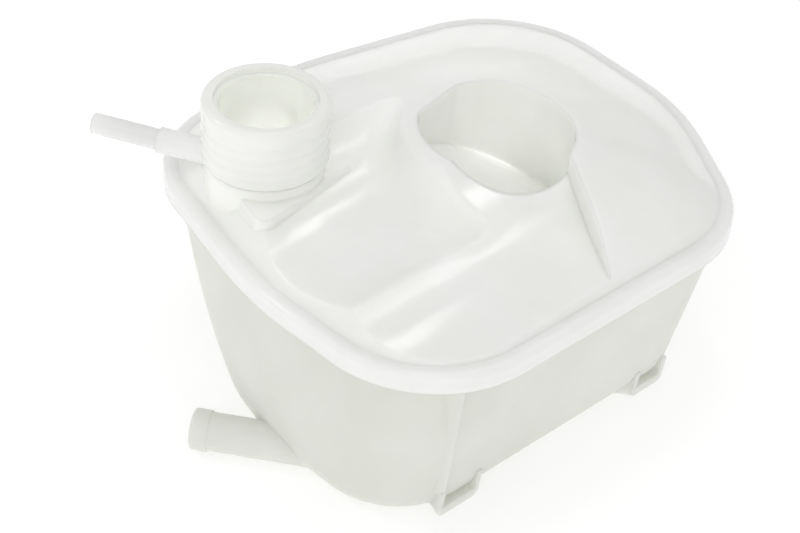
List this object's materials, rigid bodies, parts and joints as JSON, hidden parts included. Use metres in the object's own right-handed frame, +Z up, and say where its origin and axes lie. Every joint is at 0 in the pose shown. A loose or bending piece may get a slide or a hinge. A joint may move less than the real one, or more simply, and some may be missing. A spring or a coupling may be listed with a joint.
{
  "type": "coolant expansion tank",
  "caption": "Coolant expansion tank: a drafted tub welded to a scooped, crested crown with a sloping-floored well, a threaded filler neck, hose spigots and scooped feet.",
  "frame": {"origin": "on the surface the tank stands on, under the middle of its outer box", "axes": "+Z up, -Y out of the long flat side, +X along the length towards the end without a filler neck"},
  "size_m": [0.2358, 0.198, 0.137],
  "materials": {
    "upper_polypropylene": "moulded natural polypropylene, milky and glossy",
    "lower_polypropylene": "moulded natural polypropylene, milky and satin"
  },
  "bodies": {
    "root": {"upper_shell": "upper_polypropylene", "lower_shell": "lower_polypropylene"}
  },
  "joints": []
}
